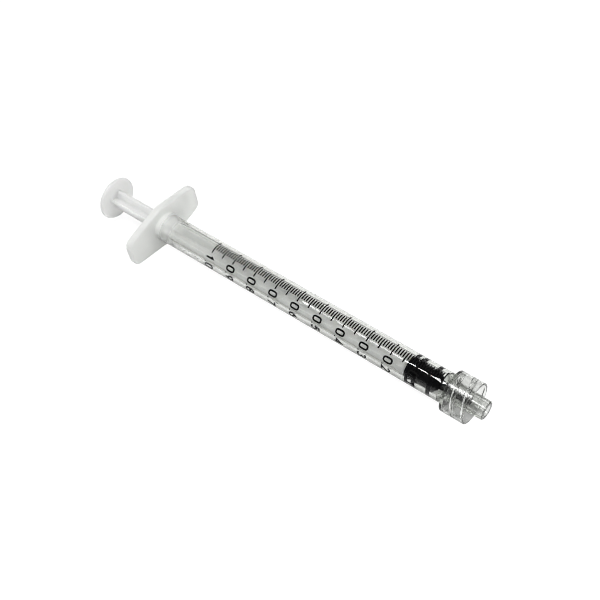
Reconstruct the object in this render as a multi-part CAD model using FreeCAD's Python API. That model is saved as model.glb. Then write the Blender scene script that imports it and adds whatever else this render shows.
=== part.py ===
import FreeCAD, Part
import math
import os

# One millilitre syringe with a luer lock, lying on its side on its flange and collar.
# The axis is X, the nozzle points to +X and Z is up. The origin is the centre of the nozzle mouth.
# All lengths are millimetres, all angles are degrees.

# Scale and contents
capacity_ml = 1.0
mark_step_ml = 0.01
marks_per_figure = 10
marks_per_middle = 5
rest_volume_ml = 0.027

# Barrel tube
bore_diameter = 4.70
barrel_wall = 0.84
tube_length = 73.3
shoulder_length = 0.35

# Finger flange, a lozenge across the tube, turned so that one long side lies level on the table
flange_length = 21.2
flange_waist = 11.0
flange_tip_width = 6.7
flange_thickness = 1.8
flange_tip_corner = 1.9
flange_waist_corner = 5.0
flange_edge_bevel = 0.3
flange_root_bevel = 0.4
hub_height = 0.8

# Mouth of the bore, with a low bead that keeps the stopper in
mouth_diameter = 5.7
mouth_length = 1.4
bead_height = 0.08
bead_width = 0.8
bead_to_mouth = 3.0

# Tapered nozzle and its lumen
nozzle_length = 7.5
nozzle_tip_diameter = 3.94
nozzle_taper = 0.06
nozzle_tip_bevel = 0.25
lumen_diameter = 2.3
lumen_draft = 0.015
nozzle_root_below_zero = 2.0
end_cone_slope = 0.8

# Lock collar round the nozzle, with an internal thread of two starts
thread_root_diameter = 8.0
thread_crest_diameter = 7.0
thread_lead = 5.0
thread_starts = 2
thread_roll = 46.0
thread_crest_width = 0.3
thread_root_width = 1.0
thread_end_gap = 0.35
thread_seat = 0.2
collar_wall = 0.4
collar_floor = 0.45
nozzle_reach = 2.65
collar_edge_bevel = 0.15

# Rubber stopper: ribs that wipe the bore, a waisted core, a cone nose, a spike that fills the lumen,
# and a socket for the rod
seal_clearance = 0.02
stopper_core_diameter = 4.3
front_rib_width = 1.0
front_groove_width = 2.4
middle_rib_width = 1.0
rear_groove_width = 0.65
rear_rib_width = 0.9
skirt_length = 0.43
rib_bevel = 0.12
nose_length = 1.25
spike_length = 6.3
spike_clearance = 0.1
spike_tip_bevel = 0.3

# Plunger rod: four ribs, a thumb disc, a guide disc and a button head
rib_span = 4.4
rib_thickness = 0.85
rib_tip_round = 0.1
rib_root_fillet = 0.3
thumb_disc_diameter = 9.94
thumb_disc_thickness = 0.9
thumb_disc_bevel = 0.28
thumb_gap = 13.1
rod_roll = -17.0
guide_disc_thickness = 0.8
guide_disc_bevel = 0.15
neck_diameter = 1.6
neck_length = 1.3
head_diameter = 2.5
head_length = 1.6
head_rim_length = 0.5
head_point_diameter = 1.3
swivel_clearance = 0.05

# Printed scale marks, raised by the thickness of the ink
ink_thickness = 0.04
mark_width = 0.26
mark_end_angle = 128.3
minor_mark_start = 85.2
minor_mark_end = 111.7
middle_mark_start = 85.2
major_mark_start = 70.7

# Places along the axis
mm_per_ml = 1000.0 / (math.pi * (bore_diameter / 2) ** 2)
collar_floor_x = -nozzle_length
collar_rim_x = -nozzle_reach
collar_back_x = collar_floor_x - collar_floor
zero_x = collar_floor_x - nozzle_root_below_zero
shoulder_x = collar_back_x - shoulder_length
flange_front_x = zero_x - tube_length
barrel_rear_x = flange_front_x - flange_thickness
seal_edge_x = zero_x - rest_volume_ml * mm_per_ml
front_rib_rear_x = seal_edge_x - front_rib_width
middle_rib_front_x = front_rib_rear_x - front_groove_width
middle_rib_rear_x = middle_rib_front_x - middle_rib_width
rear_rib_front_x = middle_rib_rear_x - rear_groove_width
rear_rib_rear_x = rear_rib_front_x - rear_rib_width
stopper_rear_x = rear_rib_rear_x - skirt_length
socket_step_x = stopper_rear_x + neck_length
guide_disc_front_x = stopper_rear_x - swivel_clearance
thumb_disc_front_x = barrel_rear_x - thumb_gap

# Radii that several pieces share
bore_radius = bore_diameter / 2
barrel_radius = bore_radius + barrel_wall
thread_root_radius = thread_root_diameter / 2
collar_radius = thread_root_radius + collar_wall
rod_radius = rib_span / 2
socket_head_radius = head_diameter / 2 + swivel_clearance
socket_neck_radius = neck_diameter / 2 + swivel_clearance
hub_radius = barrel_radius + hub_height

# The lumen widens towards the mouth, and the end cone of the bore runs down to it
lumen_mouth_radius = lumen_diameter / 2
cone_drop = bore_radius - lumen_mouth_radius - lumen_draft * zero_x
lumen_end_x = zero_x + cone_drop / (end_cone_slope + lumen_draft)
lumen_end_radius = lumen_mouth_radius + lumen_draft * lumen_end_x
spike_radius = lumen_end_radius - spike_clearance

# Points nearer to each other than this count as one
same_point = 1e-6

AXIS_START = FreeCAD.Vector(0, 0, 0)
AXIS_X = FreeCAD.Vector(1, 0, 0)


def along_axis(x, radius):
    """Point of a turned outline: a place on the axis and a distance from it."""
    return FreeCAD.Vector(x, 0, radius)


def across_axis(y, z):
    """Point of an outline that lies square to the axis."""
    return FreeCAD.Vector(0, y, z)


def closed_wire(corners, place, rounded):
    """Closed wire through corners (u, v, size). A size cuts its corner back: as an arc of that radius
    where rounded is true, and as a bevel of that length otherwise."""
    points = [place(u, v) for u, v, _ in corners]
    edges = []
    starts = []
    ends = []
    for i, corner in enumerate(points):
        size = corners[i][2]
        towards_last = (points[i - 1] - corner).normalize()
        towards_next = (points[(i + 1) % len(points)] - corner).normalize()
        if size <= 0:
            starts.append(corner)
            ends.append(corner)
            continue
        half_angle = towards_last.getAngle(towards_next) / 2
        setback = size / math.tan(half_angle) if rounded else size
        start = corner + towards_last * setback
        end = corner + towards_next * setback
        starts.append(start)
        ends.append(end)
        if rounded:
            inward = (towards_last + towards_next).normalize()
            middle = corner + inward * (size / math.sin(half_angle) - size)
            edges.append(Part.Arc(start, middle, end).toShape())
        else:
            edges.append(Part.LineSegment(start, end).toShape())
    for i in range(len(points)):
        if ends[i - 1].distanceToPoint(starts[i]) > same_point:
            edges.append(Part.LineSegment(ends[i - 1], starts[i]).toShape())
    return Part.Wire(Part.__sortEdges__(edges))


def turned(corners):
    """Solid of revolution about the axis, from its half section with bevelled corners."""
    section = Part.Face(closed_wire(corners, along_axis, False))
    return section.revolve(AXIS_START, AXIS_X, 360)


def barrel_section():
    """Half section of tube, shoulder, collar, nozzle and bore, starting at the nozzle mouth."""
    nozzle_tip_radius = nozzle_tip_diameter / 2
    nozzle_root_radius = nozzle_tip_radius + nozzle_taper / 2 * nozzle_length
    bead_x = barrel_rear_x + bead_to_mouth
    return [
        (0, lumen_mouth_radius, 0),
        (0, nozzle_tip_radius, nozzle_tip_bevel),
        (collar_floor_x, nozzle_root_radius, 0),
        (collar_floor_x, thread_root_radius, 0),
        (collar_rim_x, thread_root_radius, 0),
        (collar_rim_x, collar_radius, collar_edge_bevel),
        (collar_back_x, collar_radius, collar_edge_bevel),
        (shoulder_x, barrel_radius, 0),
        (flange_front_x, barrel_radius, flange_root_bevel),
        (flange_front_x, hub_radius, 0),
        (barrel_rear_x, hub_radius, 0),
        (barrel_rear_x, mouth_diameter / 2, 0),
        (barrel_rear_x + mouth_length, bore_radius, 0),
        (bead_x - bead_width / 2, bore_radius, 0),
        (bead_x, bore_radius - bead_height, 0),
        (bead_x + bead_width / 2, bore_radius, 0),
        (zero_x, bore_radius, 0),
        (lumen_end_x, lumen_end_radius, 0),
    ]


def flange_plate():
    """Lozenge finger flange, rolled about the axis until one long side is level."""
    half_length = flange_length / 2
    half_tip = flange_tip_width / 2
    half_waist = flange_waist / 2
    outline = [
        (half_length, -half_tip, flange_tip_corner),
        (half_length, half_tip, flange_tip_corner),
        (0, half_waist, flange_waist_corner),
        (-half_length, half_tip, flange_tip_corner),
        (-half_length, -half_tip, flange_tip_corner),
        (0, -half_waist, flange_waist_corner),
    ]
    face = Part.Face(closed_wire(outline, across_axis, True))
    plate = face.extrude(FreeCAD.Vector(flange_thickness, 0, 0))
    rim_edges = [edge for edge in plate.Edges if edge.BoundBox.XLength < same_point]
    plate = plate.makeChamfer(flange_edge_bevel, rim_edges)
    level_roll = math.degrees(math.atan((half_waist - half_tip) / half_length))
    plate.rotate(AXIS_START, AXIS_X, level_roll)
    plate.translate(FreeCAD.Vector(barrel_rear_x, 0, 0))
    return plate


def thread_rib(start_angle):
    """One start of the internal thread, trimmed between the collar's floor and its rim."""
    foot_radius = thread_root_radius + collar_wall / 2
    crest_radius = thread_crest_diameter / 2
    flank = (thread_root_width - thread_crest_width) / 2
    foot_half = thread_root_width / 2 + flank * collar_wall / (thread_root_diameter - thread_crest_diameter)
    crest_half = thread_crest_width / 2
    thread_depth = collar_rim_x - collar_floor_x
    helix = Part.makeHelix(thread_lead, thread_depth + 2 * thread_root_width, thread_root_radius)
    section = Part.makePolygon([
        FreeCAD.Vector(foot_radius, 0, -foot_half),
        FreeCAD.Vector(crest_radius, 0, -crest_half),
        FreeCAD.Vector(crest_radius, 0, crest_half),
        FreeCAD.Vector(foot_radius, 0, foot_half),
        FreeCAD.Vector(foot_radius, 0, -foot_half),
    ])
    sweep = Part.BRepOffsetAPI.MakePipeShell(Part.Wire(helix))
    sweep.setFrenetMode(True)
    sweep.add(section)
    sweep.build()
    sweep.makeSolid()
    rib = sweep.shape()
    rib.rotate(AXIS_START, FreeCAD.Vector(0, 1, 0), 90)
    rib.rotate(AXIS_START, AXIS_X, start_angle)
    rib.translate(FreeCAD.Vector(collar_floor_x - thread_root_width, 0, 0))
    trim_start = FreeCAD.Vector(collar_floor_x - thread_seat, 0, 0)
    trim_length = thread_seat + thread_depth - thread_end_gap
    trim = Part.makeCylinder(collar_radius, trim_length, trim_start, AXIS_X)
    return rib.common(trim)


def barrel():
    """Barrel moulding: tube, finger flange, lock collar with its thread, and nozzle."""
    tube = turned(barrel_section())
    ribs = [thread_rib(thread_roll + 360.0 * start / thread_starts) for start in range(thread_starts)]
    plate = flange_plate()
    hole_start = FreeCAD.Vector(barrel_rear_x, 0, 0)
    hole = Part.makeCylinder(barrel_radius, flange_thickness, hole_start, AXIS_X)
    body = tube.fuse([plate.cut(hole)] + ribs)
    return body.removeSplitter()


def stopper():
    """Rubber stopper with three wiping ribs, a cone nose with its spike, and the socket for the rod's head."""
    rib_radius = bore_radius - seal_clearance
    core_radius = stopper_core_diameter / 2
    socket_end_x = socket_step_x + head_length + 2 * swivel_clearance
    nose_x = seal_edge_x + nose_length
    spike_tip_x = nose_x + spike_length
    return turned([
        (spike_tip_x, 0, 0),
        (spike_tip_x, spike_radius, spike_tip_bevel),
        (nose_x, spike_radius, 0),
        (seal_edge_x, core_radius, 0),
        (seal_edge_x, rib_radius, rib_bevel),
        (front_rib_rear_x, rib_radius, rib_bevel),
        (front_rib_rear_x, core_radius, 0),
        (middle_rib_front_x, core_radius, 0),
        (middle_rib_front_x, rib_radius, rib_bevel),
        (middle_rib_rear_x, rib_radius, rib_bevel),
        (middle_rib_rear_x, core_radius, 0),
        (rear_rib_front_x, core_radius, 0),
        (rear_rib_front_x, rib_radius, rib_bevel),
        (rear_rib_rear_x, rib_radius, rib_bevel),
        (rear_rib_rear_x, core_radius, 0),
        (stopper_rear_x, core_radius, 0),
        (stopper_rear_x, socket_neck_radius, 0),
        (socket_step_x, socket_neck_radius, 0),
        (socket_step_x, socket_head_radius, 0),
        (socket_end_x, socket_head_radius, 0),
        (socket_end_x, 0, 0),
    ])


def cross_section():
    """Corners of the rod's cross: four ribs with square tips and round roots."""
    half = rib_thickness / 2
    tip = math.sqrt(rod_radius ** 2 - half ** 2)
    corners = []
    for quarter in range(4):
        turn = math.radians(rod_roll + 90 * quarter)
        rib_corners = ((tip, -half, rib_tip_round), (tip, half, rib_tip_round), (half, half, rib_root_fillet))
        for u, v, radius in rib_corners:
            y = u * math.cos(turn) - v * math.sin(turn)
            z = u * math.sin(turn) + v * math.cos(turn)
            corners.append((y, z, radius))
    return corners


def plunger_rod():
    """Plunger moulding: thumb disc, four long ribs, guide disc and the head held by the stopper."""
    disc_rear_x = thumb_disc_front_x - thumb_disc_thickness
    disc_radius = thumb_disc_diameter / 2
    guide_rear_x = guide_disc_front_x - guide_disc_thickness
    head_rear_x = socket_step_x + swivel_clearance
    head_front_x = head_rear_x + head_length
    thumb_disc = turned([
        (disc_rear_x, 0, 0),
        (disc_rear_x, disc_radius, thumb_disc_bevel),
        (thumb_disc_front_x, disc_radius, thumb_disc_bevel),
        (thumb_disc_front_x, 0, 0),
    ])
    front_end = turned([
        (guide_rear_x, 0, 0),
        (guide_rear_x, rod_radius, guide_disc_bevel),
        (guide_disc_front_x, rod_radius, guide_disc_bevel),
        (guide_disc_front_x, neck_diameter / 2, 0),
        (head_rear_x, neck_diameter / 2, 0),
        (head_rear_x, head_diameter / 2, 0),
        (head_rear_x + head_rim_length, head_diameter / 2, 0),
        (head_front_x, head_point_diameter / 2, 0),
        (head_front_x, 0, 0),
    ])
    cross = Part.Face(closed_wire(cross_section(), across_axis, True))
    ribs = cross.extrude(FreeCAD.Vector(guide_rear_x - thumb_disc_front_x, 0, 0))
    ribs.translate(FreeCAD.Vector(thumb_disc_front_x, 0, 0))
    return thumb_disc.fuse([ribs, front_end]).removeSplitter()


def scale_mark(volume_ml, start_angle, end_angle):
    """One ink line round the tube, between two angles counted from +Y towards +Z."""
    x = zero_x - volume_ml * mm_per_ml
    outline = Part.makePolygon([
        along_axis(x - mark_width / 2, barrel_radius),
        along_axis(x + mark_width / 2, barrel_radius),
        along_axis(x + mark_width / 2, barrel_radius + ink_thickness),
        along_axis(x - mark_width / 2, barrel_radius + ink_thickness),
        along_axis(x - mark_width / 2, barrel_radius),
    ])
    mark = Part.Face(outline).revolve(AXIS_START, AXIS_X, end_angle - start_angle)
    mark.rotate(AXIS_START, AXIS_X, start_angle - 90)
    return mark


def scale_marks():
    """The printed scale: a long mark each tenth, a middle mark each twentieth, short ones between."""
    marks = []
    for step in range(round(capacity_ml / mark_step_ml) + 1):
        volume_ml = step * mark_step_ml
        if step % marks_per_figure == 0:
            marks.append(scale_mark(volume_ml, major_mark_start, mark_end_angle))
        elif step % marks_per_middle == 0:
            marks.append(scale_mark(volume_ml, middle_mark_start, mark_end_angle))
        else:
            marks.append(scale_mark(volume_ml, minor_mark_start, minor_mark_end))
    return Part.makeCompound(marks)


parts = {
    "barrel": barrel(),
    "scale_marks": scale_marks(),
    "plunger_rod": plunger_rod(),
    "stopper": stopper(),
}

os.makedirs("parts", exist_ok=True)
for name, shape in parts.items():
    shape.exportStep("parts/" + name + ".step")
    print(name, "solids", len(shape.Solids), "volume", round(shape.Volume, 3), "valid", shape.isValid())
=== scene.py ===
import math

import bpy
import numpy as np
from mathutils import Matrix, Vector

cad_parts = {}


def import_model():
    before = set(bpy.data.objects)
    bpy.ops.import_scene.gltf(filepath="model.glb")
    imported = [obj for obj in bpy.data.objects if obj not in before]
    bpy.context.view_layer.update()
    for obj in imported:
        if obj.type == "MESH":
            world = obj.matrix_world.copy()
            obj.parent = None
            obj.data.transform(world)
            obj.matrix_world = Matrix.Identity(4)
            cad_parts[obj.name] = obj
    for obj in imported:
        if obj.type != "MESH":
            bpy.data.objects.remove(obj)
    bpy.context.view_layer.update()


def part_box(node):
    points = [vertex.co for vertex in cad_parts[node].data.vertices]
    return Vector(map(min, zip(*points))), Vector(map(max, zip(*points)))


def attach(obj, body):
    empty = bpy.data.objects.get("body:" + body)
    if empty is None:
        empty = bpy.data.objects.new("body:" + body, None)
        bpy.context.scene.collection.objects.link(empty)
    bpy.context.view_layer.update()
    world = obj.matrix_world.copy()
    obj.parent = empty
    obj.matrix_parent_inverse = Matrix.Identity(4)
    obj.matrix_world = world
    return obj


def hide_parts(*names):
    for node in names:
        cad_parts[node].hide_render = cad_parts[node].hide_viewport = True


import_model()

# Looks of a 1 ml luer lock syringe that lies on its finger flange and its lock collar. The axis is X and
# the nozzle points to +X. Sizes are in millimetres until a mesh is written in metres. Places round the
# axis are in degrees from +Y towards +Z.
MM = 0.001

# Places along the axis that come from the frame
BARREL_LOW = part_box("barrel")[0]
STOPPER_LOW, STOPPER_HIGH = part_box("stopper")
ROD_LOW, ROD_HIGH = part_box("plunger_rod")
BARREL_REAR = BARREL_LOW.x / MM
STOPPER_REAR = STOPPER_LOW.x / MM
STOPPER_FRONT = STOPPER_HIGH.x / MM
ROD_REAR = ROD_LOW.x / MM
ROD_FRONT = ROD_HIGH.x / MM

# Fineness of the meshes
AROUND = 256
SUPPORT = 0.03
NEAR_ZERO = 1e-6
ROUND_ANGLES = np.arange(AROUND) * 2 * math.pi / AROUND

# Barrel tube, its shoulder and the cone at the end of its bore
BORE_RADIUS = 2.35
TUBE_RADIUS = 3.19
ZERO_LINE = -9.5
SHOULDER_START = -8.3
SHOULDER_FILLET = 0.15
END_CONE_LENGTH = 1.65
END_CONE_RADIUS = 1.03
END_CONE_START_ROUND = 0.2
END_CONE_END_ROUND = 0.3

# Finger flange, a lozenge. The tiny inset keeps its outline inside the solid's box.
FLANGE_THICKNESS = 1.8
FLANGE_FRONT = BARREL_REAR + FLANGE_THICKNESS
FLANGE_LENGTH = 21.2
FLANGE_WAIST = 11.0
FLANGE_TIP_WIDTH = 6.7
FLANGE_TIP_CORNER = 1.9
FLANGE_WAIST_CORNER = 5.0
FLANGE_EDGE_ROUND = 0.4
FLANGE_EDGE_BAND = 1.0
FLANGE_ROOT_FILLET = 0.45
FLANGE_INSET = 0.005

# Mouth of the bore, and the low bead inside it that keeps the stopper in
MOUTH_RADIUS = 2.85
MOUTH_LENGTH = 1.4
MOUTH_BAND = 0.6
MOUTH_EDGE_ROUND = 0.2
MOUTH_END_ROUND = 0.8
BEAD_PLACE = BARREL_REAR + 3.0
BEAD_HEIGHT = 0.08
BEAD_HALF_WIDTH = 0.4
BEAD_FOOT_ROUND = 0.3
BEAD_TOP_ROUND = 0.4

# Nozzle and its lumen. The skin of the barrel starts and ends inside the lumen, a little way in.
NOZZLE_TIP_RADIUS = 1.97
NOZZLE_ROOT_RADIUS = 2.195
NOZZLE_TIP_ROUND = 0.3
NOZZLE_ROOT_FILLET = 0.2
LUMEN_RADIUS = 1.15
LUMEN_MOUTH_ROUND = 0.12
SKIN_START = -1.0
SKIN_END = -1.2

# Lock collar. The bands at its floor and its rim are plain, and the wall between them has the thread.
COLLAR_BACK = -7.95
COLLAR_FLOOR = -7.5
COLLAR_RIM = -2.65
COLLAR_RADIUS = 4.4
COLLAR_BACK_ROUND = 0.18
COLLAR_FLOOR_FILLET = 0.18
COLLAR_FLOOR_BAND = 0.3
COLLAR_RIM_BAND = 0.2
COLLAR_RIM_INNER_ROUND = 0.1
COLLAR_RIM_OUTER_ROUND = 0.15
COLLAR_WALL_STEPS = 110

# Thread inside the collar. Its roll is counted from straight down.
THREAD_ROOT_RADIUS = 4.0
THREAD_DEPTH = 0.5
THREAD_LEAD = 5.0
THREAD_STARTS = 2
THREAD_ROLL = 46.0
THREAD_CREST_HALF = 0.15
THREAD_ROOT_HALF = 0.5
THREAD_START_GAP = 0.2
THREAD_START_FADE = 0.05
THREAD_END_GAP = 0.35
THREAD_END_FADE = 0.15

# Plunger rod: four ribs, a thumb disc, a guide disc and a button head inside the stopper
ROD_ROLL = -17.0
ROD_RADIUS = 2.2
ROD_STEPS = 12
ROD_END_STEP = 2.0
RIB_COUNT = 4
RIB_HALF = 0.425
RIB_TIP_ROUND = 0.14
RIB_ROOT_FILLET = 0.3
DISC_RADIUS = 4.97
DISC_THICKNESS = 0.9
DISC_ROUND = 0.42
DISC_CENTRE_RADIUS = 1.0
DISC_INNER_BAND = 0.5
GUIDE_THICKNESS = 0.8
GUIDE_OVER_RIBS = 0.001
GUIDE_ROUND = 0.12
NECK_RADIUS = 0.8
NECK_LENGTH = 1.3
NECK_FILLET = 0.05
SWIVEL_CLEARANCE = 0.05
HEAD_RADIUS = 1.25
HEAD_REAR_ROUND = 0.15
HEAD_RIM_LENGTH = 0.55
HEAD_RIM_ROUND = 0.3
HEAD_POINT_RADIUS = 0.65
HEAD_POINT_ROUND = 0.2
HEAD_CENTRE_RADIUS = 0.2

# Stopper: a spike, a cone nose, three wipers on the bore and a socket for the rod's head. The wipers are
# given from the front, each of the first two with the groove behind it.
STOPPER_SPIKE = 6.3
SPIKE_RADIUS = 0.93
SPIKE_TIP_ROUND = 0.4
SPIKE_FOOT_FILLET = 0.5
STOPPER_NOSE = 1.25
NOSE_STEP = 0.05
CORE_RADIUS = 2.15
WIPER_PRESS = 0.012
WIPER_ROUND = 0.1
GROOVE_FILLET = 0.08
WIPERS_AND_GROOVES = ((1.0, 2.4), (1.0, 0.65))
REAR_WIPER = 0.9
SKIRT_ROUND = 0.15
SOCKET_MOUTH_ROUND = 0.1
SOCKET_STEP_ROUND = 0.05
SOCKET_DEPTH = 3.0
SOCKET_FLOOR_FILLET = 0.1

# Printed scale. Marks and figures have their places round the axis, and the ink has a foot just under the
# tube's surface.
ML_LENGTH = 1000.0 / (math.pi * BORE_RADIUS ** 2)
MARKS_PER_ML = 100
MARKS_PER_MIDDLE = 5
MARKS_PER_FIGURE = 10
MARK_WIDTH = 0.3
MARK_END = 128.3
MINOR_MARK = (83.5, 111.7)
MIDDLE_MARK = (83.5, MARK_END)
MAJOR_MARK = (70.7, MARK_END)
FIGURE_WIDTH = 1.42
FIGURE_HEIGHT = 2.23
FIGURE_STROKE = 0.38
FIGURE_START = 135.0
SECOND_FIGURE_START = 175.0
POINT_PLACE = 169.5
POINT_SIZE = 0.3
INK_FOOT = TUBE_RADIUS - 0.004
INK_TOP = TUBE_RADIUS + 0.022
INK_STEP = 0.12
LEAST_MITRE = 0.45

# Clear plastic along the axis, as (place, value): the flange is milky, the tube is clear and the thick
# collar and nozzle are a little dull
CLEAR_TRANSMISSION = (
    (-83, 0.5), (-81.5, 0.8), (-77, 0.98), (-60, 0.998), (-40, 1.0), (-9, 1.0), (-8, 0.985), (0, 0.985),
)
CLEAR_ROUGHNESS = ((-83, 0.45), (-82, 0.3), (-79, 0.03), (-9, 0.02), (-8.2, 0.13), (0, 0.13))
CLEAR_SHADE = ((-83, 0.92), (-80, 1.0), (-9, 1.0), (-8, 0.87), (0, 0.87))
LIGHT_LET_IN = 0.95
PLASTIC_IOR = 1.49

# Part of the noise texture's range over which colours vary
NOISE_SPAN = (0.35, 0.65)

# Floor. Gloss and glass show a share of its white face beside the lit table, whose colour has a painted
# contact shade that darkens it where something stands close over it. Sizes are in metres.
FLOOR_SIDE = 4.0
FLOOR_GAP = 0.00001
GLASS_SHARE = 0.3
WHITE_FACE_COLOUR = 0.15
WHITE_FACE_GLOW = 0.9
SHADE_REACH = 0.006
SHADE_SAMPLES = 4
SHADE_OPENNESS = (0.35, 0.75)
PAINTED_SHADE_COLOURS = (0.3, 0.85)

# Strength of the studio round the object
SWEEP_SPAN = (-0.15, 0.35)
SWEEP_STRENGTHS = (0.1, 0.4)
EVEN_STRENGTH = 0.36

# Points that the lamps face, and the bounces that light needs to get through the clear pieces
BARREL_MIDDLE = (-0.045, 0, 0)
COLLAR_MIDDLE = (-0.005, 0, 0)
LIGHT_BOUNCES = 24


def smoothstep(value):
    """Eases a value from 0 to 1, and holds it there outside that range."""
    value = np.clip(value, 0.0, 1.0)
    return value * value * (3.0 - 2.0 * value)


def unit(vectors):
    """Vectors of length 1, one or a row of them."""
    return vectors / np.linalg.norm(vectors, axis=-1, keepdims=True)


def corner_arc(before, corner, after, radius, steps):
    """Points of the arc that rounds a corner between two straight runs."""
    to_before = unit(before - corner)
    to_after = unit(after - corner)
    half_angle = math.acos(float(np.clip(to_before @ to_after, -1, 1))) / 2
    setback = radius / math.tan(half_angle)
    centre = corner + unit(to_before + to_after) * radius / math.sin(half_angle)
    first = corner + to_before * setback - centre
    last = corner + to_after * setback - centre
    turn = math.atan2(first[0] * last[1] - first[1] * last[0], float(first @ last))
    arc_points = []
    for step in range(steps + 1):
        a = turn * step / steps
        arc_points.append(centre + np.array([
            first[0] * math.cos(a) - first[1] * math.sin(a),
            first[0] * math.sin(a) + first[1] * math.cos(a),
        ]))
    return arc_points


def straight_run(start, end, support, longest):
    """Points between two ends: one close to each end, and more between so that no step is too long."""
    length = float(np.linalg.norm(end - start))
    if length < 3 * support:
        return []
    along = (end - start) / length
    pieces = max(1, math.ceil(length / longest))
    places = [support] + [length * k / pieces for k in range(1, pieces)] + [length - support]
    return [start + along * place for place in places]


def rounded_path(corners, closed, arc_steps=6, support=SUPPORT, longest=2.0):
    """Points along a path through corners (u, v, radius): arcs at the corners, with close support points
    beside each arc so that smooth shading stays on it. A radius of 0 keeps the corner sharp."""
    count = len(corners)
    points = [np.array(c[:2], float) for c in corners]
    stretches = []
    for i in range(count):
        radius = corners[i][2]
        is_end = not closed and i in (0, count - 1)
        if radius <= 0 or is_end:
            stretches.append([points[i]])
        else:
            stretches.append(corner_arc(points[i - 1], points[i], points[(i + 1) % count], radius, arc_steps))
    path = []
    for i in range(count):
        path.extend(stretches[i])
        if closed or i < count - 1:
            path.extend(straight_run(stretches[i][-1], stretches[(i + 1) % count][0], support, longest))
    return np.array(path)


def mesh_piece(name, vertices, faces, material, body, nodes):
    """A closed smooth mesh, given in millimetres, that rides on a body and stands for CAD nodes."""
    mesh = bpy.data.meshes.new(name)
    mesh.from_pydata([tuple(v) for v in np.asarray(vertices) * MM], [], faces)
    mesh.validate()
    mesh.update()
    mesh.polygons.foreach_set("use_smooth", [True] * len(mesh.polygons))
    mesh.materials.append(material)
    piece = bpy.data.objects.new(name, mesh)
    bpy.context.scene.collection.objects.link(piece)
    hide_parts(*nodes)
    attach(piece, body)
    return piece


def rings_to_mesh(rings, closed):
    """Vertices and faces of a skin over rings of points. A ring of one point is a pole."""
    vertices = []
    starts = []
    for ring in rings:
        starts.append(len(vertices))
        vertices.extend(ring)
    faces = []
    pairs = list(zip(range(len(rings) - 1), range(1, len(rings))))
    if closed:
        pairs.append((len(rings) - 1, 0))
    for a, b in pairs:
        count = max(len(rings[a]), len(rings[b]))
        for i in range(count):
            j = (i + 1) % count
            if len(rings[a]) == 1:
                faces.append((starts[a], starts[b] + j, starts[b] + i))
            elif len(rings[b]) == 1:
                faces.append((starts[a] + i, starts[a] + j, starts[b]))
            else:
                faces.append((starts[a] + i, starts[a] + j, starts[b] + j, starts[b] + i))
    return vertices, faces


def circle_ring(x, radius, angles):
    """Ring of points round the axis, with one radius or a radius for each angle."""
    radius = np.broadcast_to(radius, angles.shape)
    return np.stack([np.full(angles.shape, x), radius * np.cos(angles), radius * np.sin(angles)], axis=1)


def pole(x):
    """Ring of the one point on the axis."""
    return [(x, 0, 0)]


def turned(path, angles=ROUND_ANGLES):
    """Rings of a path of (place along the axis, radius) turned round the axis."""
    return [circle_ring(x, radius, angles) if radius > NEAR_ZERO else pole(x) for x, radius in path]


def lozenge_radius(inset, angles):
    """Distance from the axis to the flange's outline, moved inwards by inset, at each angle. The lozenge is
    rolled so that one long side lies level."""
    half_length = FLANGE_LENGTH / 2
    half_tip = FLANGE_TIP_WIDTH / 2
    half_waist = FLANGE_WAIST / 2
    outline = rounded_path([
        (half_length, -half_tip, FLANGE_TIP_CORNER),
        (half_length, half_tip, FLANGE_TIP_CORNER),
        (0, half_waist, FLANGE_WAIST_CORNER),
        (-half_length, half_tip, FLANGE_TIP_CORNER),
        (-half_length, -half_tip, FLANGE_TIP_CORNER),
        (0, -half_waist, FLANGE_WAIST_CORNER),
    ], closed=True, arc_steps=24, support=0.02, longest=0.1)
    tangent = unit(np.roll(outline, -1, axis=0) - np.roll(outline, 1, axis=0))
    outward = np.stack([tangent[:, 1], -tangent[:, 0]], axis=1)
    moved = outline - outward * (inset + FLANGE_INSET)
    roll = math.atan((half_waist - half_tip) / half_length)
    full_turn = 2 * math.pi
    turns = (np.arctan2(moved[:, 1], moved[:, 0]) + roll) % full_turn
    distances = np.hypot(moved[:, 0], moved[:, 1])
    order = np.argsort(turns)
    return np.interp(angles % full_turn, turns[order], distances[order], period=full_turn)


def thread_height(x, angles):
    """How far the thread stands in from the collar's wall at a place along the axis."""
    pitch = THREAD_LEAD / THREAD_STARTS
    start = COLLAR_FLOOR - 2 * THREAD_ROOT_HALF + THREAD_LEAD * (90 - THREAD_ROLL) / 360
    offset = (x - start - THREAD_LEAD * angles / (2 * math.pi) + pitch / 2) % pitch - pitch / 2
    flank = (THREAD_ROOT_HALF - np.abs(offset)) / (THREAD_ROOT_HALF - THREAD_CREST_HALF)
    rise = smoothstep((x - COLLAR_FLOOR - THREAD_START_GAP) / THREAD_START_FADE)
    fall = smoothstep((COLLAR_RIM - THREAD_END_GAP - x) / THREAD_END_FADE)
    return THREAD_DEPTH * smoothstep(flank) * fall * rise


def nozzle_path():
    """From inside the lumen's mouth, over the nozzle, to the start of the collar's wall."""
    return rounded_path([
        (SKIN_START, LUMEN_RADIUS, 0),
        (0, LUMEN_RADIUS, LUMEN_MOUTH_ROUND),
        (0, NOZZLE_TIP_RADIUS, NOZZLE_TIP_ROUND),
        (COLLAR_FLOOR, NOZZLE_ROOT_RADIUS, NOZZLE_ROOT_FILLET),
        (COLLAR_FLOOR, THREAD_ROOT_RADIUS, COLLAR_FLOOR_FILLET),
        (COLLAR_FLOOR + COLLAR_FLOOR_BAND, THREAD_ROOT_RADIUS, 0),
    ], closed=False)


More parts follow.
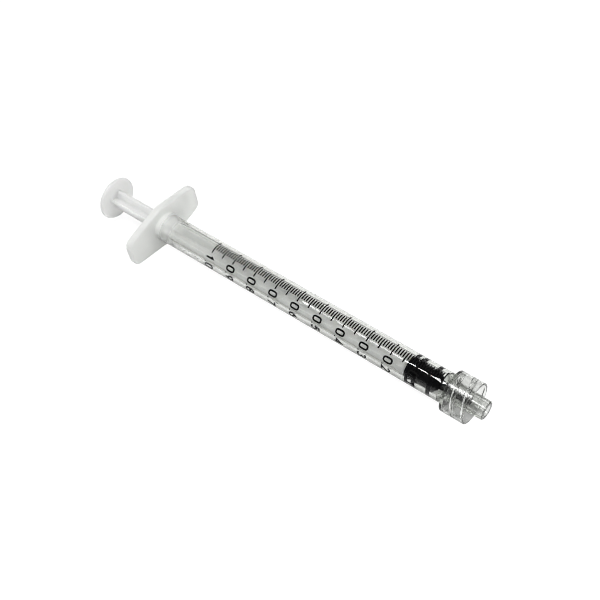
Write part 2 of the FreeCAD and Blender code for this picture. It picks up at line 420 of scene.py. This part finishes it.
def threaded_wall():
    """Rings of the collar's inner wall with its thread."""
    start = COLLAR_FLOOR + COLLAR_FLOOR_BAND
    end = COLLAR_RIM - COLLAR_RIM_BAND
    rings = []
    for k in range(1, COLLAR_WALL_STEPS):
        x = start + (end - start) * k / COLLAR_WALL_STEPS
        rings.append(circle_ring(x, THREAD_ROOT_RADIUS - thread_height(x, ROUND_ANGLES), ROUND_ANGLES))
    return rings


def outside_path():
    """From the collar's rim, over its outside, the shoulder and the tube, to the flange's front face."""
    return rounded_path([
        (COLLAR_RIM - COLLAR_RIM_BAND, THREAD_ROOT_RADIUS, 0),
        (COLLAR_RIM, THREAD_ROOT_RADIUS, COLLAR_RIM_INNER_ROUND),
        (COLLAR_RIM, COLLAR_RADIUS, COLLAR_RIM_OUTER_ROUND),
        (COLLAR_BACK, COLLAR_RADIUS, COLLAR_BACK_ROUND),
        (SHOULDER_START, TUBE_RADIUS, SHOULDER_FILLET),
        (FLANGE_FRONT, TUBE_RADIUS, FLANGE_ROOT_FILLET),
        (FLANGE_FRONT, TUBE_RADIUS + 2 * FLANGE_ROOT_FILLET, 0),
    ], closed=False)


def flange_edge():
    """Rings of the lozenge flange, from its front face round its edge to its rear face."""
    path = rounded_path([
        (FLANGE_FRONT, FLANGE_EDGE_BAND, 0),
        (FLANGE_FRONT, 0, FLANGE_EDGE_ROUND),
        (BARREL_REAR, 0, FLANGE_EDGE_ROUND),
        (BARREL_REAR, FLANGE_EDGE_BAND, 0),
    ], closed=False)
    return [circle_ring(x, lozenge_radius(inset, ROUND_ANGLES), ROUND_ANGLES) for x, inset in path]


def bore_path():
    """From the flange's rear face, through the mouth, the bead and the bore, into the lumen."""
    return rounded_path([
        (BARREL_REAR, MOUTH_RADIUS + MOUTH_BAND, 0),
        (BARREL_REAR, MOUTH_RADIUS, MOUTH_EDGE_ROUND),
        (BARREL_REAR + MOUTH_LENGTH, BORE_RADIUS, MOUTH_END_ROUND),
        (BEAD_PLACE - BEAD_HALF_WIDTH, BORE_RADIUS, BEAD_FOOT_ROUND),
        (BEAD_PLACE, BORE_RADIUS - BEAD_HEIGHT, BEAD_TOP_ROUND),
        (BEAD_PLACE + BEAD_HALF_WIDTH, BORE_RADIUS, BEAD_FOOT_ROUND),
        (ZERO_LINE, BORE_RADIUS, END_CONE_START_ROUND),
        (ZERO_LINE + END_CONE_LENGTH, END_CONE_RADIUS, END_CONE_END_ROUND),
        (SKIN_END, LUMEN_RADIUS, 0),
    ], closed=False)


def barrel_piece(material):
    """Tube, flange, shoulder, lock collar with its thread, nozzle and bore as one closed skin."""
    rings = turned(nozzle_path()) + threaded_wall() + turned(outside_path()) + flange_edge()
    rings += turned(bore_path())
    vertices, faces = rings_to_mesh(rings[::-1], closed=True)
    nodes = ["barrel"]
    return mesh_piece("clear_barrel", vertices, faces, material, "barrel_body", nodes)


def stopper_piece(material):
    """Black rubber stopper. Its wipers are pressed flat on the bore, so they touch the clear wall."""
    wiper_radius = BORE_RADIUS + WIPER_PRESS
    edge = STOPPER_FRONT - STOPPER_SPIKE - STOPPER_NOSE
    corners = [
        (STOPPER_FRONT, 0, 0),
        (STOPPER_FRONT, SPIKE_RADIUS, SPIKE_TIP_ROUND),
        (edge + STOPPER_NOSE, SPIKE_RADIUS, SPIKE_FOOT_FILLET),
        (edge, CORE_RADIUS - NOSE_STEP, WIPER_ROUND),
        (edge, wiper_radius, WIPER_ROUND),
    ]
    x = edge
    for wiper, groove in WIPERS_AND_GROOVES:
        x -= wiper
        corners += [(x, wiper_radius, WIPER_ROUND), (x, CORE_RADIUS, GROOVE_FILLET)]
        x -= groove
        corners += [(x, CORE_RADIUS, GROOVE_FILLET), (x, wiper_radius, WIPER_ROUND)]
    x -= REAR_WIPER
    socket_step = STOPPER_REAR + NECK_LENGTH
    socket_floor = STOPPER_REAR + SOCKET_DEPTH
    corners += [
        (x, wiper_radius, WIPER_ROUND),
        (x, CORE_RADIUS, GROOVE_FILLET),
        (STOPPER_REAR, CORE_RADIUS, SKIRT_ROUND),
        (STOPPER_REAR, NECK_RADIUS + SWIVEL_CLEARANCE, SOCKET_MOUTH_ROUND),
        (socket_step, NECK_RADIUS + SWIVEL_CLEARANCE, SOCKET_STEP_ROUND),
        (socket_step, HEAD_RADIUS + SWIVEL_CLEARANCE, SOCKET_STEP_ROUND),
        (socket_floor, HEAD_RADIUS + SWIVEL_CLEARANCE, SOCKET_FLOOR_FILLET),
        (socket_floor, 0, 0),
    ]
    rings = turned(rounded_path(corners, closed=False, arc_steps=4))
    vertices, faces = rings_to_mesh(rings[::-1], closed=False)
    nodes = ["stopper"]
    return mesh_piece("rubber_stopper", vertices, faces, material, "stopper_body", nodes)


def rod_section():
    """Outline (y, z) of the rod's cross of ribs."""
    rib_tip = math.sqrt(ROD_RADIUS ** 2 - RIB_HALF ** 2)
    rib_corners = (
        (rib_tip, -RIB_HALF, RIB_TIP_ROUND),
        (rib_tip, RIB_HALF, RIB_TIP_ROUND),
        (RIB_HALF, RIB_HALF, RIB_ROOT_FILLET),
    )
    corners = []
    for rib in range(RIB_COUNT):
        turn = math.radians(ROD_ROLL + 360 / RIB_COUNT * rib)
        for u, v, radius in rib_corners:
            y = u * math.cos(turn) - v * math.sin(turn)
            z = u * math.sin(turn) + v * math.cos(turn)
            corners.append((y, z, radius))
    return rounded_path(corners, closed=True, longest=0.35)


def rod_piece(material):
    """Plunger rod: thumb disc, cross of four ribs, guide disc and button head as one closed skin. Every ring
    has its points at the angles of the cross."""
    section = rod_section()
    angles = np.arctan2(section[:, 1], section[:, 0])
    disc_front = ROD_REAR + DISC_THICKNESS
    guide_front = STOPPER_REAR - SWIVEL_CLEARANCE
    guide_rear = guide_front - GUIDE_THICKNESS
    head_rear = STOPPER_REAR + NECK_LENGTH + SWIVEL_CLEARANCE
    disc = rounded_path([
        (ROD_REAR, DISC_CENTRE_RADIUS, 0),
        (ROD_REAR, DISC_RADIUS, DISC_ROUND),
        (disc_front, DISC_RADIUS, DISC_ROUND),
        (disc_front, ROD_RADIUS + DISC_INNER_BAND, 0),
    ], closed=False, arc_steps=8)
    guide_and_head = rounded_path([
        (guide_rear, ROD_RADIUS + GUIDE_OVER_RIBS, 0),
        (guide_front, ROD_RADIUS + GUIDE_OVER_RIBS, GUIDE_ROUND),
        (guide_front, NECK_RADIUS, NECK_FILLET),
        (head_rear, NECK_RADIUS, NECK_FILLET),
        (head_rear, HEAD_RADIUS, HEAD_REAR_ROUND),
        (head_rear + HEAD_RIM_LENGTH, HEAD_RADIUS, HEAD_RIM_ROUND),
        (ROD_FRONT, HEAD_POINT_RADIUS, HEAD_POINT_ROUND),
        (ROD_FRONT, HEAD_CENTRE_RADIUS, 0),
    ], closed=False, arc_steps=5)
    cross_places = [disc_front, disc_front + SUPPORT]
    cross_places += list(np.linspace(disc_front + ROD_END_STEP, guide_rear - ROD_END_STEP, ROD_STEPS))
    cross_places += [guide_rear - SUPPORT, guide_rear]
    rings = [pole(ROD_REAR)] + turned(disc, angles)
    for x in cross_places:
        rings.append(np.stack([np.full(len(section), x), section[:, 0], section[:, 1]], axis=1))
    rings += turned(guide_and_head, angles) + [pole(ROD_FRONT)]
    vertices, faces = rings_to_mesh(rings, closed=False)
    nodes = ["plunger_rod"]
    return mesh_piece("milky_plunger_rod", vertices, faces, material, "rod_body", nodes)


def arc(cx, cy, rx, ry, start, end, steps=14):
    """Points of an elliptical arc, angles in degrees."""
    turns = np.radians(np.linspace(start, end, steps + 1))
    return [(cx + rx * math.cos(a), cy + ry * math.sin(a)) for a in turns]


def oval(cx, cy, rx, ry, steps=40, fullness=0.62):
    """Points of a closed oval whose corners are fuller than an ellipse's."""
    points = []
    for step in range(steps + 1):
        a = 2 * math.pi * step / steps
        c = math.copysign(abs(math.cos(a)) ** fullness, math.cos(a))
        s = math.copysign(abs(math.sin(a)) ** fullness, math.sin(a))
        points.append((cx + rx * c, cy + ry * s))
    return points


def figure_strokes(figure):
    """Centre lines of a plain figure in a box of width and height 1."""
    strokes = {
        "0": [oval(0.5, 0.5, 0.5, 0.5)],
        "1": [[(0.2, 0.74), (0.56, 1.0), (0.56, 0.0)]],
        "2": [arc(0.5, 0.71, 0.46, 0.29, 165, -35) + [(0.04, 0.0), (1.0, 0.0)]],
        "3": [arc(0.45, 0.75, 0.42, 0.25, 150, -90), arc(0.45, 0.26, 0.52, 0.26, 90, -155)],
        "4": [[(0.76, 0.0), (0.76, 1.0), (0.0, 0.28), (1.0, 0.28)]],
        "5": [[(0.92, 1.0), (0.2, 1.0), (0.1, 0.52)] + arc(0.46, 0.32, 0.5, 0.32, 140, -150)],
        "6": [arc(0.5, 0.32, 0.48, 0.32, 170, 530, 24), [(0.02, 0.34), (0.2, 0.72), (0.72, 1.0)]],
        "7": [[(0.0, 1.0), (1.0, 1.0), (0.35, 0.0)]],
        "8": [arc(0.5, 0.76, 0.4, 0.24, 90, 450, 24), arc(0.5, 0.27, 0.5, 0.27, 90, 450, 24)],
        "9": [arc(0.5, 0.68, 0.48, 0.32, 0, 360, 24), [(0.98, 0.66), (0.8, 0.28), (0.28, 0.0)]],
    }
    return strokes[figure]


def dense_path(path):
    """The path with steps short enough to follow the tube, and whether it is a closed loop."""
    path = np.array(path, float)
    dense = [path[0]]
    for start, end in zip(path[:-1], path[1:]):
        steps = max(1, math.ceil(float(np.linalg.norm(end - start)) / INK_STEP))
        dense += [start + (end - start) * k / steps for k in range(1, steps + 1)]
    closed = float(np.linalg.norm(dense[0] - dense[-1])) < NEAR_ZERO
    if closed:
        dense.pop()
    return np.array(dense), closed


def line_edges(points, closed, width):
    """Left and right edge of a line of some width along points, with mitred corners."""
    before = np.roll(points, 1, axis=0)
    after = np.roll(points, -1, axis=0)
    if not closed:
        before[0] = points[0] - (points[1] - points[0])
        after[-1] = points[-1] + (points[-1] - points[-2])
    arriving = unit(points - before)
    leaving = unit(after - points)
    both = arriving + leaving
    mitre = unit(np.stack([-both[:, 1], both[:, 0]], axis=1))
    side = np.stack([-arriving[:, 1], arriving[:, 0]], axis=1)
    reach = (width / 2) / np.clip((mitre * side).sum(axis=1), LEAST_MITRE, 1.0)
    return points + mitre * reach[:, None], points - mitre * reach[:, None]


def ink_line(path, width, vertices, faces):
    """A raised line of ink along a path of (arc length round the tube, place along the axis)."""
    points, closed = dense_path(path)
    left, right = line_edges(points, closed, width)
    base = len(vertices)
    for left_end, right_end in zip(left, right):
        section = ((left_end, INK_FOOT), (right_end, INK_FOOT), (right_end, INK_TOP), (left_end, INK_TOP))
        for (arc_length, x), radius in section:
            turn = arc_length / TUBE_RADIUS
            vertices.append((x, radius * math.cos(turn), radius * math.sin(turn)))
    count = len(points)
    for i in range(count if closed else count - 1):
        a = base + 4 * i
        b = base + 4 * ((i + 1) % count)
        for k in range(4):
            m = (k + 1) % 4
            faces.append((a + k, b + k, b + m, a + m))
    if not closed:
        last = base + 4 * (count - 1)
        faces.append((base, base + 1, base + 2, base + 3))
        faces.append((last + 3, last + 2, last + 1, last))


def around_tube(degrees):
    """Arc length round the tube's surface."""
    return math.radians(degrees) * TUBE_RADIUS


def scale_marks(vertices, faces):
    """Adds the line of every hundredth, longer at each twentieth and each tenth."""
    for step in range(MARKS_PER_ML + 1):
        x = ZERO_LINE - step / MARKS_PER_ML * ML_LENGTH
        start, end = MINOR_MARK
        if step % MARKS_PER_FIGURE == 0:
            start, end = MAJOR_MARK
        elif step % MARKS_PER_MIDDLE == 0:
            start, end = MIDDLE_MARK
        ink_line([(around_tube(start), x), (around_tube(end), x)], MARK_WIDTH, vertices, faces)


def scale_figures(vertices, faces):
    """Adds the figures and decimal point of each tenth, centred on its mark."""
    inner_width = FIGURE_WIDTH - FIGURE_STROKE
    inner_height = FIGURE_HEIGHT - FIGURE_STROKE
    for step in range(MARKS_PER_FIGURE, MARKS_PER_ML + 1, MARKS_PER_FIGURE):
        volume = step / MARKS_PER_ML
        x = ZERO_LINE - volume * ML_LENGTH - inner_height / 2
        text = "%.1f" % volume
        for figure, place in ((text[0], FIGURE_START), (text[2], SECOND_FIGURE_START)):
            left = around_tube(place) + FIGURE_STROKE / 2
            for stroke in figure_strokes(figure):
                path = [(left + u * inner_width, x + v * inner_height) for u, v in stroke]
                ink_line(path, FIGURE_STROKE, vertices, faces)
        point = around_tube(POINT_PLACE)
        ink_line([(point - POINT_SIZE / 2, x), (point + POINT_SIZE / 2, x)], POINT_SIZE, vertices, faces)


def scale_piece(material):
    """The printed scale: its marks and the figures of each tenth."""
    vertices = []
    faces = []
    scale_marks(vertices, faces)
    scale_figures(vertices, faces)
    nodes = ["scale_marks"]
    return mesh_piece("scale_print", vertices, faces, material, "barrel_body", nodes)


def grey(value):
    """Grey colour with full alpha."""
    return (value, value, value, 1)


def set_values(node, values):
    """Sets inputs of a node by name."""
    for name, value in values.items():
        node.inputs[name].default_value = value


def math_node(tree, operation, first, second):
    """Result of an operation on an output and another output or a number."""
    node = tree.nodes.new("ShaderNodeMath")
    node.operation = operation
    tree.links.new(first, node.inputs[0])
    if isinstance(second, float):
        node.inputs[1].default_value = second
    else:
        tree.links.new(second, node.inputs[1])
    return node.outputs[0]


def map_range(tree, value, source, target, interpolation="LINEAR"):
    """Value mapped from one span to another, and held at the ends."""
    node = tree.nodes.new("ShaderNodeMapRange")
    node.interpolation_type = interpolation
    set_values(node, {"From Min": source[0], "From Max": source[1], "To Min": target[0], "To Max": target[1]})
    tree.links.new(value, node.inputs["Value"])
    return node.outputs["Result"]


def mix_shaders(tree, share, first, second):
    """Mix of two shaders, where a share of 1 gives the second."""
    node = tree.nodes.new("ShaderNodeMixShader")
    tree.links.new(share, node.inputs[0])
    tree.links.new(first, node.inputs[1])
    tree.links.new(second, node.inputs[2])
    return node.outputs[0]


def node_material(name, noise_values, shader_values):
    """A new material with values set on its Principled shader, and a noise texture in object space."""
    material = bpy.data.materials.new(name)
    material.use_nodes = True
    tree = material.node_tree
    shader = tree.nodes["Principled BSDF"]
    set_values(shader, shader_values)
    place = tree.nodes.new("ShaderNodeTexCoord")
    noise = tree.nodes.new("ShaderNodeTexNoise")
    set_values(noise, noise_values)
    tree.links.new(place.outputs["Object"], noise.inputs["Vector"])
    return material, tree, shader, noise


def add_bump(tree, shader, noise, strength, distance):
    """Fine surface waviness from the noise texture."""
    bump = tree.nodes.new("ShaderNodeBump")
    set_values(bump, {"Strength": strength, "Distance": distance})
    tree.links.new(noise.outputs["Fac"], bump.inputs["Height"])
    tree.links.new(bump.outputs["Normal"], shader.inputs["Normal"])


def vary_colour(tree, noise, socket, low, high):
    """Lets the noise vary a colour between two ends."""
    ramp = tree.nodes.new("ShaderNodeValToRGB")
    for stop, position, colour in zip(ramp.color_ramp.elements, NOISE_SPAN, (low, high)):
        stop.position = position
        stop.color = (*colour, 1)
    tree.links.new(noise.outputs["Fac"], ramp.inputs["Fac"])
    tree.links.new(ramp.outputs["Color"], socket)


def along_axis(tree, socket, stops):
    """Lets a value follow the place along the axis: stops are (place in millimetres, value)."""
    start, first_value = stops[0]
    end = stops[-1][0]
    place = tree.nodes.new("ShaderNodeTexCoord")
    split = tree.nodes.new("ShaderNodeSeparateXYZ")
    tree.links.new(place.outputs["Object"], split.inputs[0])
    ramp = tree.nodes.new("ShaderNodeValToRGB")
    elements = ramp.color_ramp.elements
    elements.remove(elements[1])
    elements[0].position = 0
    elements[0].color = grey(first_value)
    for x, value in stops[1:]:
        elements.new((x - start) / (end - start)).color = grey(value)
    tree.links.new(map_range(tree, split.outputs["X"], (start * MM, end * MM), (0, 1)), ramp.inputs["Fac"])
    tree.links.new(ramp.outputs["Color"], socket)


def let_light_in(tree, shader):
    """Lets lamps and bounced light pass straight through the surface, so that what lies inside is lit."""
    rays = tree.nodes.new("ShaderNodeLightPath")
    either = math_node(tree, "MAXIMUM", rays.outputs["Is Shadow Ray"], rays.outputs["Is Diffuse Ray"])
    opening = tree.nodes.new("ShaderNodeBsdfTransparent")
    opening.inputs["Color"].default_value = grey(LIGHT_LET_IN)
    surface = mix_shaders(tree, either, shader.outputs[0], opening.outputs[0])
    tree.links.new(surface, tree.nodes["Material Output"].inputs["Surface"])


def clear_plastic():
    """Clear moulding whose thick finger flange looks milky and whose tube lets the stopper show."""
    material, tree, shader, noise = node_material("clear_polypropylene", {"Scale": 260.0, "Detail": 3.0}, {
        "IOR": PLASTIC_IOR,
        "Specular Tint": grey(0.4),
        "Subsurface Weight": 1.0,
        "Subsurface Radius": (1.0, 1.0, 1.0),
        "Subsurface Scale": 0.0012,
    })
    along_axis(tree, shader.inputs["Transmission Weight"], CLEAR_TRANSMISSION)
    along_axis(tree, shader.inputs["Roughness"], CLEAR_ROUGHNESS)
    tint = tree.nodes.new("ShaderNodeMix")
    tint.data_type = "RGBA"
    tint.blend_type = "MULTIPLY"
    tint.inputs[0].default_value = 1.0
    vary_colour(tree, noise, tint.inputs[6], (0.95, 0.955, 0.945), (0.97, 0.975, 0.965))
    along_axis(tree, tint.inputs[7], CLEAR_SHADE)
    tree.links.new(tint.outputs[2], shader.inputs["Base Color"])
    add_bump(tree, shader, noise, strength=0.01, distance=0.0001)
    let_light_in(tree, shader)
    haze = tree.nodes.new("ShaderNodeVolumeAbsorption")
    set_values(haze, {"Color": (0.80, 0.81, 0.79, 1), "Density": 600.0})
    tree.links.new(haze.outputs["Volume"], tree.nodes["Material Output"].inputs["Volume"])
    return material


def milky_plastic():
    """Natural moulding that scatters light and lets some through."""
    material, tree, shader, noise = node_material("milky_polypropylene", {"Scale": 500.0, "Detail": 4.0}, {
        "IOR": PLASTIC_IOR,
        "Transmission Weight": 0.35,
        "Roughness": 0.4,
        "Subsurface Weight": 1.0,
        "Subsurface Radius": (1.0, 1.0, 0.95),
        "Subsurface Scale": 0.004,
    })
    vary_colour(tree, noise, shader.inputs["Base Color"], (0.81, 0.815, 0.80), (0.83, 0.835, 0.82))
    add_bump(tree, shader, noise, strength=0.05, distance=0.0001)
    return material


def black_rubber():
    """Dull black rubber with a fine grain."""
    material, tree, shader, noise = node_material("stopper_rubber", {"Scale": 900.0, "Detail": 5.0}, {
        "Roughness": 0.7,
        "Specular IOR Level": 0.03,
    })
    vary_colour(tree, noise, shader.inputs["Base Color"], (0.001, 0.001, 0.0015), (0.002, 0.002, 0.003))
    add_bump(tree, shader, noise, strength=0.2, distance=0.00005)
    return material


def scale_ink():
    """Thin dull black ink."""
    material, tree, shader, noise = node_material("scale_ink", {"Scale": 2500.0, "Detail": 2.0}, {
        "Roughness": 0.85,
        "Specular IOR Level": 0.1,
    })
    vary_colour(tree, noise, shader.inputs["Base Color"], (0.002, 0.002, 0.002), (0.004, 0.004, 0.004))
    add_bump(tree, shader, noise, strength=0.15, distance=0.00002)
    return material


def white_face(tree):
    """Diffuse surface with so much light of its own that it looks white, and keeps a shadow."""
    diffuse = tree.nodes.new("ShaderNodeBsdfDiffuse")
    diffuse.inputs["Color"].default_value = grey(WHITE_FACE_COLOUR)
    glow = tree.nodes.new("ShaderNodeEmission")
    glow.inputs["Strength"].default_value = WHITE_FACE_GLOW
    add = tree.nodes.new("ShaderNodeAddShader")
    tree.links.new(diffuse.outputs[0], add.inputs[0])
    tree.links.new(glow.outputs[0], add.inputs[1])
    return add.outputs[0]


def table_with_painted_shade(tree):
    """Diffuse surface with a painted contact shade: its colour is darker where something stands close over
    it.
    """
    openness = tree.nodes.new("ShaderNodeAmbientOcclusion")
    openness.samples = SHADE_SAMPLES
    openness.inputs["Distance"].default_value = SHADE_REACH
    diffuse = tree.nodes.new("ShaderNodeBsdfDiffuse")
    # Painted contact shade: ambient occlusion darkens the table's colour under things that stand close over
    # it
    colour = map_range(tree, openness.outputs["AO"], SHADE_OPENNESS, PAINTED_SHADE_COLOURS)
    tree.links.new(colour, diffuse.inputs["Color"])
    return diffuse.outputs[0]


def floor_material():
    """Shows the camera its white face, gloss and glass a share of it, and all other rays the table."""
    material = bpy.data.materials.new("pale_table")
    material.use_nodes = True
    tree = material.node_tree
    tree.nodes.remove(tree.nodes["Principled BSDF"])
    rays = tree.nodes.new("ShaderNodeLightPath").outputs
    through_glass = math_node(tree, "MAXIMUM", rays["Is Glossy Ray"], rays["Is Transmission Ray"])
    glass_share = math_node(tree, "MULTIPLY", through_glass, GLASS_SHARE)
    seen = math_node(tree, "MAXIMUM", rays["Is Camera Ray"], glass_share)
    surface = mix_shaders(tree, seen, table_with_painted_shade(tree), white_face(tree))
    tree.links.new(surface, tree.nodes["Material Output"].inputs["Surface"])
    return material


def floor():
    """Pale table that the flange's level side and the collar rest on."""
    rear_x = BARREL_REAR * MM
    rear_z = BARREL_LOW.z
    front_x = COLLAR_BACK * MM
    front_z = -COLLAR_RADIUS * MM
    tilt = math.atan2(front_z - rear_z, front_x - rear_x)
    half = FLOOR_SIDE / 2
    corners = [(-half, -half, 0), (half, -half, 0), (half, half, 0), (-half, half, 0)]
    mesh = bpy.data.meshes.new("floor")
    mesh.from_pydata(corners, [], [(0, 1, 2, 3)])
    mesh.materials.append(floor_material())
    piece = bpy.data.objects.new("floor", mesh)
    bpy.context.scene.collection.objects.link(piece)
    piece.rotation_euler = (0, -tilt, 0)
    piece.location = (rear_x, 0, rear_z - FLOOR_GAP)


def world():
    """Dim studio that is paler behind and below the object, and even for diffuse light. Where the camera
    looks past the table it sees plain white."""
    room = bpy.data.worlds.new("studio")
    bpy.context.scene.world = room
    room.use_nodes = True
    tree = room.node_tree
    rays = tree.nodes.new("ShaderNodeLightPath").outputs
    place = tree.nodes.new("ShaderNodeTexCoord")
    split = tree.nodes.new("ShaderNodeSeparateXYZ")
    tree.links.new(place.outputs["Generated"], split.inputs[0])
    behind = math_node(tree, "SUBTRACT", split.outputs["Y"], split.outputs["Z"])
    sweep = map_range(tree, behind, SWEEP_SPAN, SWEEP_STRENGTHS, "SMOOTHSTEP")
    strength = tree.nodes.new("ShaderNodeMix")
    strength.inputs["B"].default_value = EVEN_STRENGTH
    tree.links.new(rays["Is Diffuse Ray"], strength.inputs["Factor"])
    tree.links.new(sweep, strength.inputs["A"])
    studio = tree.nodes["Background"]
    studio.inputs["Color"].default_value = grey(1)
    tree.links.new(strength.outputs["Result"], studio.inputs["Strength"])
    white = tree.nodes.new("ShaderNodeBackground")
    white.inputs["Color"].default_value = grey(1)
    surface = mix_shaders(tree, rays["Is Camera Ray"], studio.outputs[0], white.outputs[0])
    tree.links.new(surface, tree.nodes["World Output"].inputs["Surface"])


def softbox(name, target, direction, distance, size, radiance):
    """Rectangular lamp that faces a target, in metres. Radiance is its brightness, with 1 as white."""
    light = bpy.data.lights.new(name, "AREA")
    light.shape = "RECTANGLE"
    light.size, light.size_y = size
    light.energy = radiance * math.pi * size[0] * size[1]
    lamp = bpy.data.objects.new(name, light)
    bpy.context.scene.collection.objects.link(lamp)
    away = Vector(direction).normalized()
    side = Vector((1, 0, 0)) - away * away.x
    side.normalize()
    up = away.cross(side)
    turn = Matrix((side, up, away)).transposed()
    lamp.matrix_world = Matrix.Translation(Vector(target) + away * distance) @ turn.to_4x4()


def lights():
    """Two narrow softboxes for the highlights along the tube and on the collar, and two large dim ones."""
    softbox("strip_softbox", BARREL_MIDDLE, (-0.315, -0.29, 0.90), 0.5, (0.115, 0.065), 46.0)
    softbox("front_softbox", COLLAR_MIDDLE, (-0.22, -0.30, 0.93), 0.5, (0.08, 0.13), 30.0)
    softbox("nozzle_end_softbox", BARREL_MIDDLE, (0.8, -0.1, 0.6), 0.8, (0.8, 0.8), 1.7)
    softbox("back_softbox", BARREL_MIDDLE, (-0.1, 0.83, 0.55), 0.8, (0.6, 0.35), 1.2)


def camera():
    """The photograph's view, found by fitting a pinhole camera to the object in it."""
    data = bpy.data.cameras.new("camera")
    data.sensor_width = 36.0
    data.lens = 61.5
    data.clip_start = 0.01
    data.clip_end = 20.0
    view = bpy.data.objects.new("camera", data)
    bpy.context.scene.collection.objects.link(view)
    place = Vector((0.04559, -0.11892, 0.14931))
    forward = Vector((-0.42933, 0.56488, -0.70468)).normalized()
    right = Vector((0.78335, 0.62124, 0.02073)).normalized()
    up = right.cross(forward)
    turn = Matrix((right, up, -forward)).transposed()
    view.matrix_world = Matrix.Translation(place) @ turn.to_4x4()
    bpy.context.scene.camera = view


def render_settings():
    """Plain view, and enough bounces for light to get through the clear pieces."""
    scene = bpy.context.scene
    scene.view_settings.view_transform = "Standard"
    scene.cycles.transmission_bounces = LIGHT_BOUNCES
    scene.cycles.max_bounces = LIGHT_BOUNCES
    scene.cycles.transparent_max_bounces = LIGHT_BOUNCES
    scene.cycles.filter_width = 1.0


camera()
world()
floor()
lights()
barrel_piece(clear_plastic())
stopper_piece(black_rubber())
rod_piece(milky_plastic())
scale_piece(scale_ink())
render_settings()
